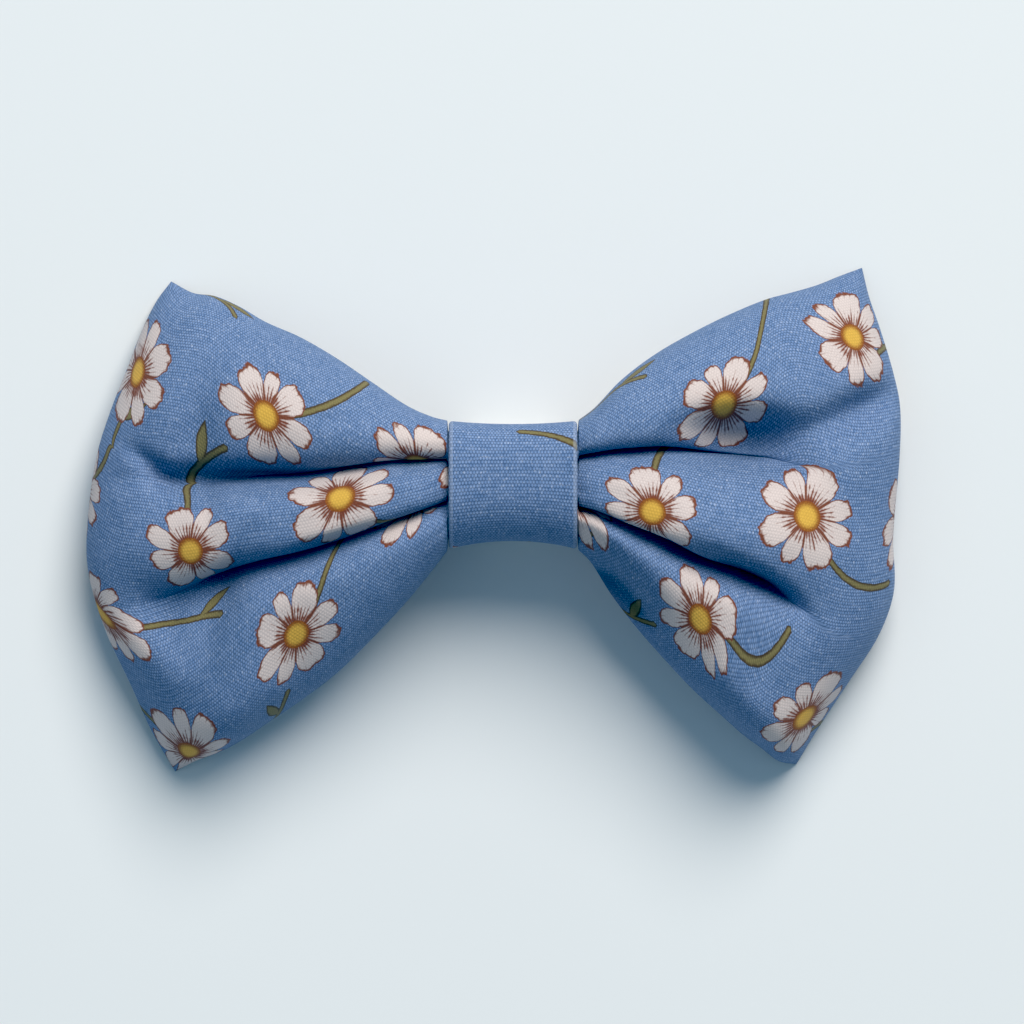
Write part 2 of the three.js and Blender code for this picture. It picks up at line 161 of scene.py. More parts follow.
def makeStudio():
    makeLight("key", **studio["key"])
    makeLight("fill", **studio["fill"])
    world = bpy.data.worlds.new("studio")
    world.use_nodes = True
    sky = world.node_tree.nodes["Background"]
    sky.inputs["Color"].default_value = (*studio["sky"]["colour"], 1)
    sky.inputs["Strength"].default_value = studio["sky"]["strength"]
    bpy.context.scene.world = world
    bpy.ops.object.select_all(action="DESELECT")
    bpy.ops.mesh.primitive_plane_add(size=studio["floor"]["size"])
    floor = bpy.context.object
    floor.name = "floor"
    paint = bpy.data.materials.new("floorPaint")
    paint.use_nodes = True
    shader = paint.node_tree.nodes["Principled BSDF"]
    shader.inputs["Base Color"].default_value = (*studio["floor"]["colour"], 1)
    shader.inputs["Roughness"].default_value = studio["floor"]["roughness"]
    shader.inputs["Specular IOR Level"].default_value = studio["floor"]["specular"]
    floor.data.materials.append(paint)
    # the picture's own tones: shadows lose red first
    tones = bpy.context.scene.view_settings
    tones.view_transform = "Standard"
    tones.use_curve_mapping = True
    tones.curve_mapping.black_level = studio["shadowTint"]
    tones.curve_mapping.update()


makeCamera()
makeStudio()
print("camera, lights and floor made")


# Shader helpers: each returns the socket with its result

def feed(tree, socket, value):
    if isinstance(value, bpy.types.NodeSocket):
        tree.links.new(value, socket)
    else:
        socket.default_value = value


def calc(tree, operation, *values):
    node = tree.nodes.new("ShaderNodeMath")
    node.operation = operation
    for socket, value in zip(node.inputs, values):
        feed(tree, socket, value)
    return node.outputs[0]


def vector(tree, operation, *values):
    node = tree.nodes.new("ShaderNodeVectorMath")
    node.operation = operation
    for socket, value in zip(node.inputs, values):
        feed(tree, socket, value)
    return node.outputs["Value" if operation == "LENGTH" else "Vector"]


def scaled(tree, source, amount):
    node = tree.nodes.new("ShaderNodeVectorMath")
    node.operation = "SCALE"
    feed(tree, node.inputs["Vector"], source)
    feed(tree, node.inputs["Scale"], amount)
    return node.outputs["Vector"]


def turned(tree, source, angle):
    node = tree.nodes.new("ShaderNodeVectorRotate")
    node.rotation_type = "Z_AXIS"
    feed(tree, node.inputs["Vector"], source)
    node.inputs["Angle"].default_value = angle
    return node.outputs["Vector"]


def parts(tree, source):
    node = tree.nodes.new("ShaderNodeSeparateXYZ")
    feed(tree, node.inputs[0], source)
    return node.outputs


def mixed(tree, factor, a, b, kind="RGBA"):
    node = tree.nodes.new("ShaderNodeMix")
    node.data_type = kind
    first, result = {"FLOAT": (2, 0), "VECTOR": (4, 1), "RGBA": (6, 2)}[kind]
    feed(tree, node.inputs[0], factor)
    feed(tree, node.inputs[first], a)
    feed(tree, node.inputs[first + 1], b)
    return node.outputs[result]


def ramp(tree, value, low, high):
    # 0 below low, 1 above high, smooth between
    node = tree.nodes.new("ShaderNodeMapRange")
    node.interpolation_type = "SMOOTHSTEP"
    feed(tree, node.inputs["Value"], value)
    node.inputs["From Min"].default_value = low
    node.inputs["From Max"].default_value = high
    return node.outputs["Result"]


def noise(tree, source, scale, detail=2.0, stretch=(1, 1, 1)):
    node = tree.nodes.new("ShaderNodeTexNoise")
    node.inputs["Scale"].default_value = scale
    node.inputs["Detail"].default_value = detail
    feed(tree, node.inputs["Vector"], vector(tree, "MULTIPLY", source, stretch))
    return node.outputs["Fac"]


def wavering(tree, source, scale, stretch=(1, 1, 1)):
    # noise about 0
    return calc(tree, "SUBTRACT", noise(tree, source, scale, 2.0, stretch), 0.5)


def under(tree, value, low, high):
    # 1 below low, 0 above high, smooth between
    return calc(tree, "SUBTRACT", 1.0, ramp(tree, value, low, high))


def opaque(colour):
    return (*colour, 1)


# Poplin and its printed flowers. The map of the flat cloth is in millimetres.

poplin = {
    "ground": (0.182, 0.258, 0.444),
    "deep": (0.115, 0.184, 0.352),
    "fleck": (0.45, 0.50, 0.63),
    "warpPitch": 0.199,
    "weftPitch": 0.398,
    "rowShare": 0.35,            # of the weave's height that lies in rows along the weft
    "raised": (-0.75, 0.45),     # weave height from between the threads to their tops
    "raisedShade": (0.62, 0.62), # painted light: how much paler the thread tops are, and the painted shade between the threads
    "streakNoise": (1.0, 3.0),   # scale and detail
    "weftStreaks": (0.35, 2.6, 0),
    "warpStreaks": (4.8, 0.3, 0),
    "streaks": (0.72, 1.28),     # heathering from deep to ground
    "slubNoise": 3.2,
    "slubs": (1.0, 0.7, 0),
    "fleckRange": (0.06, 0.26),
    "fleckShare": 0.55,
    "dullRange": (-0.28, 0.05),
    "dullShade": (0.26, 0.78),
    "printShade": (0.16, 0.89),  # the same painted highlight and shade, over cloth and print together
    "paleEdgeWidth": 0.10,
    "paleEdgeShare": 0.30,
    "roughness": 0.88,
    "specular": 0.22,
    "sheen": 0.12,
    "sheenRoughness": 0.45,
    "sheenTint": (0.65, 0.80, 1.0, 1),
    "reliefStrength": 0.5,
    "reliefDepth": 0.04,
    "reliefStreaks": 0.8,
}

bloomPrint = {
    "repeat": (60.0, 50.0),
    "petals": 8,
    "petalWhite": (0.645, 0.555, 0.54),
    "petalEdge": (0.195, 0.064, 0.031),
    "petalRoot": (0.20, 0.060, 0.028),
    "heart": (0.66, 0.40, 0.07),
    "heartRim": (0.26, 0.085, 0.015),
    "stem": (0.215, 0.180, 0.075),
    "stemEdge": (0.085, 0.055, 0.025),
    # how the flowers are drawn, in shares of their radius. A pair is a soft edge, from and to.
    "petalEnd": (-0.012, 0.012),
    "rimLine": (0.028, 0.076),
    "splitLine": (0.013, 0.044),
    "rootStrokes": (0.40, 0.66),
    "tipNicks": (0.08, 0.20),
    "nickShare": 0.6,
    "heartEnd": (0.248, 0.268),
    "heartGrain": (0.17, 0.30),
    "widthUneven": 0.17,
    "lengthUneven": 0.13,
    "tipRound": 0.42,
    "tipPower": 3.2,
    "waver": 0.20,
    "strokes": 5,                # to a petal
    "strokeFade": 0.24,
    "strokeNick": 0.30,
    "strokeWaver": 0.6,
    "heartSpeckle": 0.10,
    "lengthSeed": (12.9, 43.7),
    # the same for the stems, in millimetres from their middle
    "stemEnd": (0.43, 0.51),
    "stemLine": (0.26, 0.54),
    "stemHalf": 0.45,
    "stemWaver": 0.22,
    "stemStreak": 0.30,
    "noise": {"petal": 0.9, "heart": 6.0, "stem": 0.8, "stemStreak": 2.2},    # per millimetre
    # across and up place a flower in the repeat, in millimetres, turn is in degrees
    "blooms": [
        {"across": 6.0, "up": 7.0, "radius": 7.3, "turn": 10},
        {"across": 27.0, "up": 3.0, "radius": 6.7, "turn": 50},
        {"across": 47.0, "up": 6.6, "radius": 7.4, "turn": 85},
        {"across": 16.0, "up": 24.0, "radius": 7.5, "turn": 125},
        {"across": 37.0, "up": 27.0, "radius": 6.9, "turn": 200},
        {"across": 57.0, "up": 31.0, "radius": 7.2, "turn": 260},
        {"across": 12.0, "up": 42.0, "radius": 6.2, "turn": 330},
    ],
    # a stem leaves one of the flowers at that angle, bends to its left by that radius
    # or to its right where it is negative, and is that long
    "stems": [
        {"bloom": 0, "leave": 20, "bend": 16.0, "long": 19},
        {"bloom": 1, "leave": 100, "bend": -20.0, "long": 19},
        {"bloom": 2, "leave": 300, "bend": 15.0, "long": 18},
        {"bloom": 3, "leave": 130, "bend": 14.0, "long": 17},
        {"bloom": 4, "leave": 20, "bend": 17.0, "long": 19},
        {"bloom": 6, "leave": 10, "bend": -20.0, "long": 18},
    ],
    # a leaf grows from a stem, share of the way along it
    "leaves": [
        {"stem": 0, "share": 0.80, "turn": -35, "long": 2.8, "wide": 0.80},
        {"stem": 1, "share": 0.72, "turn": 30, "long": 2.8, "wide": 0.80},
        {"stem": 3, "share": 0.80, "turn": -35, "long": 2.5, "wide": 0.70},
        {"stem": 5, "share": 0.75, "turn": 30, "long": 3.0, "wide": 0.85},
    ],
}
farOff = 9.0    # what the nearest starts from, in flower radii or millimetres


def stemSpot(stem, share):
    # middle and radius of the stem's arc, and its heading and place that share of the way
    bloom = bloomPrint["blooms"][stem["bloom"]]
    bend, leave = stem["bend"], math.radians(stem["leave"])
    middle = (bloom["across"] - bend * math.sin(leave), bloom["up"] + bend * math.cos(leave))
    heading = leave + share * stem["long"] / bend
    spot = (middle[0] + bend * math.sin(heading), middle[1] - bend * math.cos(heading))
    return middle, abs(bend), heading, spot


def awayFrom(tree, cloth, across, up):
    # from the nearest repeat of a place in the print
    wide, tall = bloomPrint["repeat"]
    away = vector(tree, "SUBTRACT", cloth, (across, up, 0))
    return vector(tree, "WRAP", away, (wide / 2, tall / 2, 1), (-wide / 2, -tall / 2, -1))


def stemInk(tree, cloth):
    # how far off the nearest stem or leaf is, 0 in its middle
    ink = farOff
    for stem in bloomPrint["stems"]:
        middle, radius, _, spot = stemSpot(stem, 0.5)
        away = awayFrom(tree, cloth, *middle)
        away = turned(tree, away, -math.atan2(spot[1] - middle[1], spot[0] - middle[0]))
        x, y, _ = parts(tree, away)
        swing = calc(tree, "ABSOLUTE", calc(tree, "ARCTAN2", y, x))
        past = calc(tree, "MAXIMUM", calc(tree, "SUBTRACT", swing, stem["long"] / radius / 2), 0.0)
        past = calc(tree, "MULTIPLY", past, radius)
        off = calc(tree, "ABSOLUTE", calc(tree, "SUBTRACT", vector(tree, "LENGTH", away), radius))
        ink = calc(tree, "MINIMUM", ink, calc(tree, "ADD", off, past))
    for leaf in bloomPrint["leaves"]:
        _, _, heading, spot = stemSpot(bloomPrint["stems"][leaf["stem"]], leaf["share"])
        heading += math.radians(leaf["turn"])
        middle = (spot[0] + leaf["long"] * math.cos(heading), spot[1] + leaf["long"] * math.sin(heading))
        away = turned(tree, awayFrom(tree, cloth, *middle), -heading)
        x, y, _ = parts(tree, away)
        taper = calc(tree, "POWER", calc(tree, "ABSOLUTE", calc(tree, "DIVIDE", x, leaf["long"])), 2.0)
        edge = calc(tree, "MULTIPLY", calc(tree, "SUBTRACT", 1.0, taper), leaf["wide"])
        off = calc(tree, "SUBTRACT", calc(tree, "ABSOLUTE", y), edge)
        ink = calc(tree, "MINIMUM", ink, calc(tree, "ADD", off, bloomPrint["stemHalf"]))
    waver = wavering(tree, cloth, bloomPrint["noise"]["stem"])
    return calc(tree, "MULTIPLY_ADD", waver, bloomPrint["stemWaver"], ink)


def stemColour(tree, cloth, colour):
    # arcs of olive stem with leaves, drawn under the flowers
    ink = stemInk(tree, cloth)
    body = under(tree, ink, *bloomPrint["stemEnd"])
    streaks = noise(tree, cloth, bloomPrint["noise"]["stemStreak"])
    streaks = calc(tree, "MULTIPLY_ADD", streaks, bloomPrint["stemStreak"], ink)
    line = ramp(tree, streaks, *bloomPrint["stemLine"])
    green = mixed(tree, line, opaque(bloomPrint["stem"]), opaque(bloomPrint["stemEdge"]))
    return mixed(tree, body, colour, green)


def nearestBloom(tree, cloth):
    # angle in the flower nearest to each spot of the cloth, that flower's own turn, and
    # how far out the spot lies in radii of the flower
    best, nearest = (0.0, 0.0, 0.0), farOff
    for bloom in bloomPrint["blooms"]:
        away = awayFrom(tree, cloth, bloom["across"], bloom["up"])
        away = vector(tree, "MULTIPLY", away, (1 / bloom["radius"], 1 / bloom["radius"], 0))
        reach = vector(tree, "LENGTH", away)
        closer = calc(tree, "LESS_THAN", reach, nearest)
        nearest = calc(tree, "MINIMUM", reach, nearest)
        marked = vector(tree, "ADD", away, (0, 0, math.radians(bloom["turn"])))
        best = mixed(tree, closer, best, marked, "VECTOR")
    x, y, turn = parts(tree, best)
    return calc(tree, "ADD", calc(tree, "ARCTAN2", y, x), turn), turn, nearest


def bloomColour(tree, cloth, colour):
    angle, turn, nearest = nearestBloom(tree, cloth)
    uneven = calc(tree, "SINE", calc(tree, "MULTIPLY_ADD", angle, 3.0, turn))
    uneven = calc(tree, "MULTIPLY", uneven, bloomPrint["widthUneven"])
    sector = calc(tree, "MULTIPLY_ADD", angle, bloomPrint["petals"] / math.tau, uneven)
    number = calc(tree, "FLOORED_MODULO", calc(tree, "FLOOR", sector), bloomPrint["petals"])
    within = calc(tree, "ABSOLUTE", calc(tree, "SUBTRACT", calc(tree, "FRACT", sector), 0.5))
    # each petal has its own length, by chance, and the hand-drawn edge wavers
    own = calc(tree, "SINE", calc(tree, "MULTIPLY_ADD", number, bloomPrint["lengthSeed"][0], turn))
    own = calc(tree, "FRACT", calc(tree, "MULTIPLY", own, bloomPrint["lengthSeed"][1]))
    own = calc(tree, "MULTIPLY_ADD", own, -bloomPrint["lengthUneven"], 0.99)
    waver = wavering(tree, cloth, bloomPrint["noise"]["petal"])
    tip = calc(tree, "POWER", calc(tree, "MULTIPLY", within, 2.0), bloomPrint["tipPower"])
    tip = calc(tree, "MULTIPLY_ADD", tip, -bloomPrint["tipRound"], 1.0)
    tip = calc(tree, "MULTIPLY", tip, own)
    tip = calc(tree, "MULTIPLY_ADD", waver, bloomPrint["waver"], tip)
    inside = calc(tree, "SUBTRACT", tip, nearest)
    petal = ramp(tree, inside, *bloomPrint["petalEnd"])
    rim = under(tree, inside, *bloomPrint["rimLine"])
    gap = calc(tree, "MULTIPLY", calc(tree, "SUBTRACT", 0.5, within), nearest)
    split = under(tree, gap, *bloomPrint["splitLine"])
    line = calc(tree, "MAXIMUM", rim, split)
    # brown strokes run out from the heart along each petal
    strokes = calc(tree, "MULTIPLY", angle, bloomPrint["strokes"] / 2 * bloomPrint["petals"])
    strokes = calc(tree, "ABSOLUTE", calc(tree, "SINE", strokes))
    fade = calc(tree, "MULTIPLY_ADD", strokes, bloomPrint["strokeFade"], nearest)
    fade = calc(tree, "MULTIPLY_ADD", waver, bloomPrint["strokeWaver"], fade)
    root = under(tree, fade, *bloomPrint["rootStrokes"])
    nick = calc(tree, "MULTIPLY_ADD", strokes, bloomPrint["strokeNick"], inside)
    nick = calc(tree, "MULTIPLY", under(tree, nick, *bloomPrint["tipNicks"]), bloomPrint["nickShare"])
    brown = calc(tree, "MAXIMUM", root, nick)
    white = mixed(tree, brown, opaque(bloomPrint["petalWhite"]), opaque(bloomPrint["petalRoot"]))
    inked = mixed(tree, line, white, opaque(bloomPrint["petalEdge"]))
    grains = noise(tree, cloth, bloomPrint["noise"]["heart"])
    grains = calc(tree, "MULTIPLY_ADD", grains, bloomPrint["heartSpeckle"], nearest)
    grains = ramp(tree, grains, *bloomPrint["heartGrain"])
    heart = mixed(tree, grains, opaque(bloomPrint["heart"]), opaque(bloomPrint["heartRim"]))
    flower = mixed(tree, ramp(tree, nearest, *bloomPrint["heartEnd"]), heart, inked)
    return mixed(tree, petal, colour, flower)


def plainWeave(tree, threads):
    # each warp thread passes over one weft thread and under the next
    x, y, _ = parts(tree, threads)
    warp = calc(tree, "COSINE", calc(tree, "MULTIPLY", x, math.pi / poplin["warpPitch"]))
    weft = calc(tree, "COSINE", calc(tree, "MULTIPLY", y, math.pi / poplin["weftPitch"]))
    rows = calc(tree, "COSINE", calc(tree, "MULTIPLY", y, math.tau / poplin["weftPitch"]))
    over = calc(tree, "MULTIPLY", calc(tree, "MULTIPLY", warp, weft), 1 - poplin["rowShare"])
    return calc(tree, "MULTIPLY_ADD", rows, poplin["rowShare"], over)


def yarnStreaks(tree, threads):
    # heathered yarns: long pale and dark streaks one way and the other
    weft = noise(tree, threads, *poplin["streakNoise"], poplin["weftStreaks"])
    warp = noise(tree, threads, *poplin["streakNoise"], poplin["warpStreaks"])
    return calc(tree, "ADD", weft, warp)


def shaded(tree, colour, amount, pair):
    # pair is how much paler a full amount is, and the shade at none
    return scaled(tree, colour, calc(tree, "MULTIPLY_ADD", amount, *pair))


def makePoplin(name, shift, turn=0, foldEdge=None):
    # turn and shift place the print on the cloth. foldEdge is the half width of a folded
    # strip, whose edges are made paler. Lengths are in millimetres.
    material = bpy.data.materials.new(name)
    material.use_nodes = True
    tree = material.node_tree
    shader = tree.nodes["Principled BSDF"]
    source = tree.nodes.new("ShaderNodeUVMap")
    source.uv_map = "flatCloth"
    threads = source.outputs["UV"]
    weave = plainWeave(tree, threads)
    raised = ramp(tree, weave, *poplin["raised"])
    streak = yarnStreaks(tree, threads)
    heather = ramp(tree, streak, *poplin["streaks"])
    ground = mixed(tree, heather, opaque(poplin["deep"]), opaque(poplin["ground"]))
    speck = wavering(tree, threads, poplin["slubNoise"], poplin["slubs"])
    pale = calc(tree, "MULTIPLY", ramp(tree, speck, *poplin["fleckRange"]), poplin["fleckShare"])
    ground = mixed(tree, pale, ground, opaque(poplin["fleck"]))
    ground = shaded(tree, ground, ramp(tree, speck, *poplin["dullRange"]), poplin["dullShade"])
    # painted shade between the threads and painted highlight on their tops
    ground = shaded(tree, ground, raised, poplin["raisedShade"])
    cloth = vector(tree, "ADD", turned(tree, threads, turn), shift)
    colour = stemColour(tree, cloth, ground)
    colour = bloomColour(tree, cloth, colour)
    if foldEdge:
        side = calc(tree, "ABSOLUTE", parts(tree, threads)[0])
        # the colour turns paler along the folded edges
        near = ramp(tree, side, foldEdge - poplin["paleEdgeWidth"], foldEdge + poplin["paleEdgeWidth"])
        paleEdge = calc(tree, "MULTIPLY", near, poplin["paleEdgeShare"])
        colour = mixed(tree, paleEdge, colour, opaque(poplin["fleck"]))
    # the same painted thread shade and highlight, milder, over print and cloth
    feed(tree, shader.inputs["Base Color"], shaded(tree, colour, raised, poplin["printShade"]))
    shader.inputs["Roughness"].default_value = poplin["roughness"]
    shader.inputs["Specular IOR Level"].default_value = poplin["specular"]
    shader.inputs["Sheen Weight"].default_value = poplin["sheen"]
    shader.inputs["Sheen Roughness"].default_value = poplin["sheenRoughness"]
    shader.inputs["Sheen Tint"].default_value = poplin["sheenTint"]
    relief = tree.nodes.new("ShaderNodeBump")
    relief.inputs["Strength"].default_value = poplin["reliefStrength"]
    relief.inputs["Distance"].default_value = poplin["reliefDepth"] * mm
    height = calc(tree, "ADD", weave, calc(tree, "MULTIPLY", streak, poplin["reliefStreaks"]))
    feed(tree, relief.inputs["Height"], height)
    feed(tree, shader.inputs["Normal"], relief.outputs["Normal"])
    return material


# Bow: two wings and the pleats between them, as one pillow of cloth. Lengths are in
# millimetres.

bow = {
    "gap": 0.3,
    "sideGap": 0.04,
    "crestTop": 22.5,
    "endLift": 5.5,
    "foldDepth": 9.5,
    "backFoldDepth": 3.2,
    "dentDepth": 3.0,
    "foldTuck": 2.3,
    "tuckFrom": 0.2,             # of a fold's full depth, where it starts to draw cloth under
    "tuckOver": 0.4,
    "tuckPower": 5,
    "upperRoll": 0.45,           # share of the upper lobe, where its roll into fold one starts
    "riseRound": 5.0,            # steepness of a fold's lower side in round lobes
    "riseFaint": 1.3,            # and in faint waves
    "takesUpFrom": 0.6,          # of a fold's full depth, where all of it takes up cloth
    "hidesFrom": 0.5,            # the same, where it starts to hide cloth
    "sinkLimit": 9.5,            # past which folds and dents level off
    "sinkEase": 2.0,
    "uneven": 0.09,
    "wavesAlong": (0.85, 1.3, 0.45),   # radians a mm, bend, radians a mm of the bend
    "wavesDown": (0.75, 1.1, 0.5),
    "gathers": 0.05,
    "gatherCount": 11,
    "gatherRun": 4.0,
    "shoulderRun": 0.16,
    "printShift": (9.0, 4.0, 0),
    "wingSteps": 136,
    "lobeSteps": 48,
    "coreSteps": 6,
}

# at is the share of the way from the band to the tips, top and bottom are shares of
# the rise and the drop, foldOne and foldTwo of the height, depths of foldDepth
leftSections = table(
    "at    top    bottom foldOne foldTwo depthOne depthTwo",
    (0.00, 0.000, 0.000, 0.358,  0.672,  0.50,    0.50),
    (0.06, 0.030, 0.097, 0.350,  0.651,  0.85,    0.75),
    (0.15, 0.110, 0.232, 0.350,  0.638,  1.00,    0.90),
    (0.27, 0.270, 0.390, 0.390,  0.652,  1.00,    1.00),
    (0.40, 0.445, 0.548, 0.420,  0.654,  0.95,    1.00),
    (0.53, 0.595, 0.672, 0.426,  0.654,  0.85,    0.92),
    (0.66, 0.710, 0.780, 0.429,  0.661,  0.65,    0.75),
    (0.75, 0.815, 0.855, 0.422,  0.676,  0.45,    0.65),
    (0.84, 0.893, 0.914, 0.392,  0.684,  0.19,    0.52),
    (0.92, 0.917, 0.950, 0.362,  0.680,  0.05,    0.28),
    (1.00, 1.000, 1.000, 0.300,  0.660,  0.00,    0.00),
)
rightSections = table(
    "at    top    bottom foldOne foldTwo depthOne depthTwo",
    (0.00, 0.000, 0.000, 0.334,  0.705,  0.50,    0.45),
    (0.06, 0.085, 0.060, 0.361,  0.712,  0.85,    0.55),
    (0.15, 0.260, 0.205, 0.388,  0.710,  1.00,    0.75),
    (0.27, 0.430, 0.365, 0.398,  0.712,  1.00,    1.00),
    (0.40, 0.570, 0.515, 0.408,  0.725,  0.85,    1.05),
    (0.53, 0.690, 0.655, 0.408,  0.714,  0.68,    0.88),
    (0.66, 0.790, 0.775, 0.402,  0.716,  0.40,    0.45),
    (0.75, 0.836, 0.857, 0.396,  0.725,  0.16,    0.15),
    (0.84, 0.885, 0.925, 0.388,  0.750,  0.00,    0.00),
    (0.92, 0.945, 0.985, 0.380,  0.745,  0.00,    0.00),
    (1.00, 1.000, 1.000, 0.370,  0.740,  0.00,    0.00),
)
# softness is 0.5 for a lobe as round as a pillow and 2 for a faint wave, ridge a share
# of crestTop, rim of the pleats' middle height, hollow of that rim. The higher crown
# and belly, the flatter the upper and the lower half.
wingHeights = table(
    "at    softness ridge  rim    hollow crown belly",
    (0.00, 0.50,    0.905, 1.000, 0.42,  6.0,  4.0),
    (0.06, 0.50,    0.965, 0.960, 0.45,  5.0,  3.0),
    (0.15, 0.50,    0.995, 0.880, 0.50,  3.6,  2.7),
    (0.27, 0.55,    1.000, 0.760, 0.55,  2.7,  2.8),
    (0.40, 0.60,    0.970, 0.630, 0.60,  2.6,  2.9),
    (0.53, 0.70,    0.910, 0.500, 0.62,  2.6,  3.6),
    (0.66, 0.95,    0.845, 0.370, 0.62,  2.6,  7.0),
    (0.84, 1.50,    0.720, 0.180, 0.55,  2.8,  14.0),
    (1.00, 2.00,    0.620, 0.014, 0.40,  3.0,  14.0),
)
# down is the share of the way from the upper to the lower tip
leftEnd = table(
    "down  bulge",
    (0.00, 0.00),
    (0.04, 0.17),
    (0.10, 0.34),
    (0.18, 0.52),
    (0.26, 0.70),
    (0.35, 0.865),
    (0.45, 0.96),
    (0.55, 1.00),
    (0.62, 0.95),
    (0.72, 0.77),
    (0.82, 0.51),
    (0.92, 0.26),
    (1.00, 0.00),
)
rightEnd = table(
    "down  bulge",
    (0.00, 0.00),
    (0.06, 0.15),
    (0.12, 0.34),
    (0.21, 0.60),
    (0.28, 0.755),
    (0.38, 0.835),
    (0.54, 0.89),
    (0.65, 1.00),
    (0.74, 0.875),
    (0.83, 0.57),
    (0.93, 0.22),
    (1.00, 0.00),
)
# length and width are shares of the run to the upper tip, depth is in dentDepth. The
# upper side of a dent is sharp times as wide as its lower one.
leftDents = table(
    "along  down   length width  turn sharp depth",
    (0.810, 0.380, 0.13,  0.038, -36, 0.8,  0.75),
    (0.860, 0.255, 0.15,  0.080, 45,  1.0,  -0.25),
    (0.735, 0.262, 0.18,  0.080, 80,  1.0,  0.65),
    (0.360, 0.184, 0.06,  0.022, 15,  1.0,  0.20),
    (0.665, 0.457, 0.12,  0.036, 85,  1.0,  0.22),
    (0.655, 0.700, 0.20,  0.060, 68,  1.0,  0.90),
    (0.590, 0.392, 0.30,  0.042, 0,   1.0,  1.20),
    (0.316, 0.607, 0.14,  0.022, 17,  1.0,  0.60),
    (0.720, 1.000, 0.36,  0.150, 30,  1.0,  -1.00),
    (1.020, 0.880, 0.36,  0.055, -63, 1.0,  1.60),
    (0.915, 0.765, 0.20,  0.110, -50, 1.0,  -0.95),
)
rightDents = table(
    "along  down   length width  turn sharp depth",
    (0.505, 0.316, 0.18,  0.130, 0,   0.60, 3.20),
    (0.900, 0.262, 0.20,  0.090, 25,  0.6,  2.10),
    (0.195, 0.970, 0.20,  0.070, -49, 1.0,  4.40),
    (0.890, 0.985, 0.05,  0.012, -35, 1.0,  0.60),
    (0.525, 0.690, 0.15,  0.034, -28, 1.0,  1.30),
    (0.800, 1.000, 0.34,  0.150, -42, 1.0,  -1.20),
    (0.560, 0.585, 0.50,  0.110, -8,  1.0,  -0.50),
)
# rolls is how steeply the cloth rolls under at each fold, crest the share of the middle
# lobe above its top, ends how full the upper and lower half stay towards the tips
wings = {
    "left": {
        "side": -1, "topRun": 34.7, "topRise": 17.5, "bottomRun": 34.2, "bottomDrop": 27.8,
        "bulge": 10.7, "rolls": (1.7, 2.8), "crest": 0.50, "ends": (8.0, 4.5),
        "sections": leftSections, "end": leftEnd, "dents": leftDents,
    },
    "right": {
        "side": 1, "topRun": 35.6, "topRise": 19.2, "bottomRun": 27.4, "bottomDrop": 26.9,
        "bulge": 9.2, "rolls": (2.6, 4.5), "crest": 0.62, "ends": (8.0, 6.5),
        "sections": rightSections, "end": rightEnd, "dents": rightDents,
    },
}

# the band's own sizes stand here because the pleats inside it need them
band = {
    "wall": 1.0,
    "crown": 0.5,
    "waistTop": 0.4,
    "waistBottom": 1.0,
    "upperBoxy": 2.9,
    "lowerBoxy": 2.2,
    "overTop": 0.1,              # that the cloth stands over the plain band
    "steps": 200,
    "widthSteps": 45,
    "printShift": (18.7, 42.0, 0),
}
bandLow, bandHigh = (np.array(corner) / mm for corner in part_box("knot_band"))
bandWidth = bandHigh[0] - bandLow[0]
bandHeight = bandHigh[1] - bandLow[1]
coreMiddle = (bandLow[2] + bandHigh[2] - band["crown"]) / 2
throat = bandHeight / 2 - band["wall"] - bow["gap"]


def wingPlan(wing, at, down):
    # where a spot of the wing lies as seen from the front, before its folds
    topY = bandHeight / 2 + wing["topRise"] * curveThrough(wing["sections"], "at", "top", at)
    bottomY = -bandHeight / 2 - wing["bottomDrop"] * curveThrough(wing["sections"], "at", "bottom", at)
    bulge = wing["bulge"] * at * curveThrough(wing["end"], "down", "bulge", down)
    run = at * blend(wing["topRun"], wing["bottomRun"], down) + bulge
    spread = smooth(at * wing["topRun"] / bow["shoulderRun"])
    squeeze = blend(throat / (bandHeight / 2), 1, spread)
    x = wing["side"] * (bandWidth / 2 + bow["sideGap"] + run)
    return x, blend(topY, bottomY, down) * squeeze


def frontFolds(wing, section, softness, down):
    # how far the two folds sink the front, how much of that takes up cloth, and how far
    # they draw it under a lobe. The upper side of a fold rolls under slowly, its lower
    # side rises at once. The shallow end of fold one is only pressed in.
    one, two = section["foldOne"], section["foldTwo"]
    middle = blend(one, two, wing["crest"])
    pressed = smooth(section["depthOne"] / bow["takesUpFrom"])
    folds = [
        (one, section["depthOne"], one * bow["upperRoll"], middle, wing["rolls"][0], pressed),
        (two, section["depthTwo"], middle, (1 + two) / 2, wing["rolls"][1], 1),
    ]
    rise = blend(bow["riseRound"], bow["riseFaint"], smooth(softness - 0.5))
    sunk, taken, tuck = 0, 0, 0
    for line, depth, above, below, roll, share in folds:
        top = np.where(down < line, above, below)
        near = np.clip(1 - np.abs(down - line) / np.abs(top - line), 0, 1)
        steep = np.where(down < line, roll, rise)
        sinks = bow["foldDepth"] * depth * (1 - np.power(1 - near ** steep, softness))
        draws = bow["foldTuck"] * depth * smooth((depth - bow["tuckFrom"]) / bow["tuckOver"])
        sunk = sunk + sinks
        taken = taken + sinks * share
        tuck = tuck + draws * near ** bow["tuckPower"]
    return sunk, taken, tuck


def waves(x, y, pitch, bend, slow):
    # low waves along x, bent by others along y
    return np.sin(pitch * x + bend * np.sin(slow * y))


